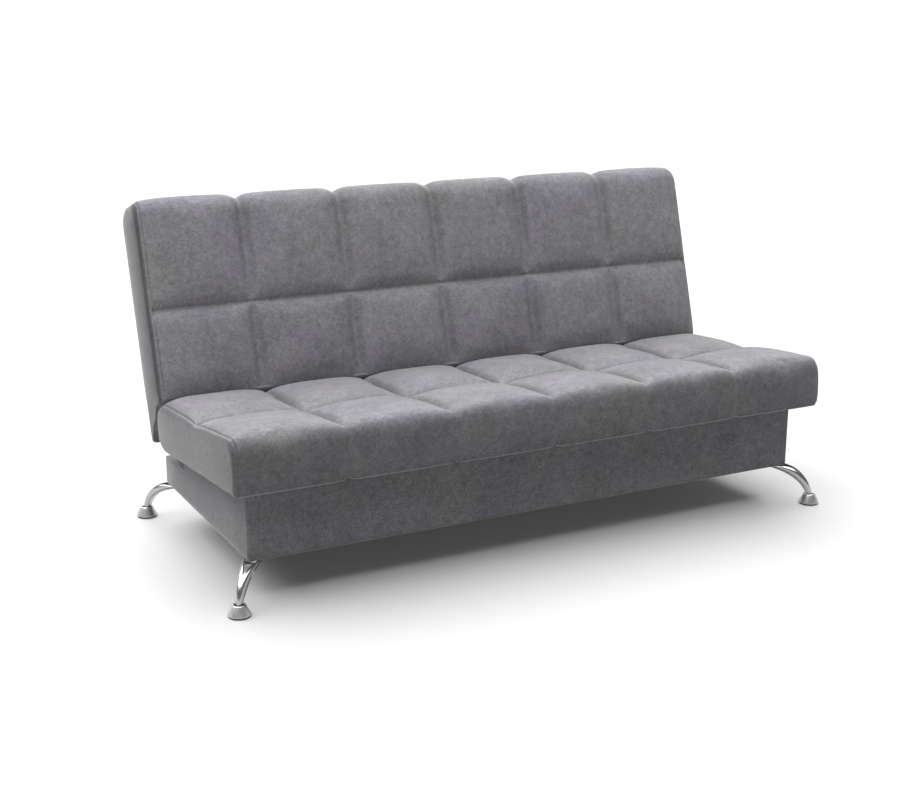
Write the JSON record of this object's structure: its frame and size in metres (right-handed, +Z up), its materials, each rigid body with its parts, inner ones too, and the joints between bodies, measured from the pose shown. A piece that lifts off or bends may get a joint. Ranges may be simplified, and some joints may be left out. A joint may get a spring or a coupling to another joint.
{
  "type": "sofa bed",
  "caption": "Armless click clack sofa bed: tufted seat that lifts and tufted back that folds flat, on a fabric storage box raised on curved chrome legs with cone feet.",
  "frame": {"origin": "on the floor, in the middle of the space that the sofa takes up with its back upright", "axes": "+X along the sofa, to the right seen from the front; +Y to the rear; +Z up"},
  "size_m": [1.9558, 0.9694, 0.9825],
  "materials": {
    "fabric": "matte",
    "dark_cloth": "matte",
    "foam": "matte",
    "softwood": "matte",
    "plywood": "matte",
    "beech": "satin",
    "chrome": "polished",
    "zinc_steel": "satin",
    "spring_steel": "satin",
    "rubber": "matte"
  },
  "bodies": {
    "base": {"box_cover": "fabric", "box_floor": "plywood", "box_front_panel": "plywood", "box_rear_panel": "plywood", "box_panel_left": "plywood", "box_panel_right": "plywood", "corner_block_front_left": "softwood", "corner_block_front_right": "softwood", "corner_block_rear_left": "softwood", "corner_block_rear_right": "softwood", "leg_front_left": "chrome", "foot_cone_front_left": "chrome", "glide_front_left": "rubber", "leg_front_right": "chrome", "foot_cone_front_right": "chrome", "glide_front_right": "rubber", "leg_rear_left": "chrome", "foot_cone_rear_left": "chrome", "glide_rear_left": "rubber", "leg_rear_right": "chrome", "foot_cone_rear_right": "chrome", "glide_rear_right": "rubber", "base_bracket_left": "zinc_steel", "base_bracket_right": "zinc_steel", "lift_pin_left": "zinc_steel", "lift_pin_right": "zinc_steel"},
    "seat": {"seat_cover": "fabric", "seat_foam": "foam", "seat_rail_left": "softwood", "seat_rail_right": "softwood", "seat_front_rail": "softwood", "seat_mid_rail": "softwood", "seat_rear_rail": "softwood", "seat_slats": "beech", "seat_bottom_cloth": "dark_cloth", "seat_arm_left": "zinc_steel", "seat_arm_right": "zinc_steel", "ratchet_pin_left": "zinc_steel", "ratchet_pin_right": "zinc_steel", "pawl_spring_left": "spring_steel", "pawl_spring_right": "spring_steel"},
    "back": {"back_cover": "fabric", "back_foam": "foam", "back_rail_left": "softwood", "back_rail_right": "softwood", "back_bottom_rail": "softwood", "back_mid_rail": "softwood", "back_top_rail": "softwood", "back_slats": "beech", "back_rear_cloth": "fabric", "back_arm_left": "zinc_steel", "back_arm_right": "zinc_steel"},
    "pawl_left": {"pawl_left": "zinc_steel"},
    "pawl_right": {"pawl_right": "zinc_steel"}
  },
  "joints": [
    {"name": "seat_lift", "type": "hinge", "parent": "base", "child": "seat", "pos_m": [0, 0.29496, 0.186], "axis": [-1, 0, 0], "range_deg": [0, 30]},
    {"name": "back_recline", "type": "hinge", "parent": "seat", "child": "back", "pos_m": [0, 0.21488, 0.33367], "axis": [-1, 0, 0], "range_deg": [-9, 78.5]},
    {"name": "pawl_drop_left", "type": "hinge", "parent": "seat", "child": "pawl_left", "pos_m": [-0.8654, 0.16287, 0.30593], "axis": [-1, 0, 0], "range_deg": [0, 7], "stiffness_Nm_per_rad": 0.4},
    {"name": "pawl_drop_right", "type": "hinge", "parent": "seat", "child": "pawl_right", "pos_m": [0.8654, 0.16287, 0.30593], "axis": [-1, 0, 0], "range_deg": [0, 7], "stiffness_Nm_per_rad": 0.4}
  ],
  "couplings": [
    {"joint": "pawl_drop_right", "follows": "pawl_drop_left", "ratio": 1}
  ]
}
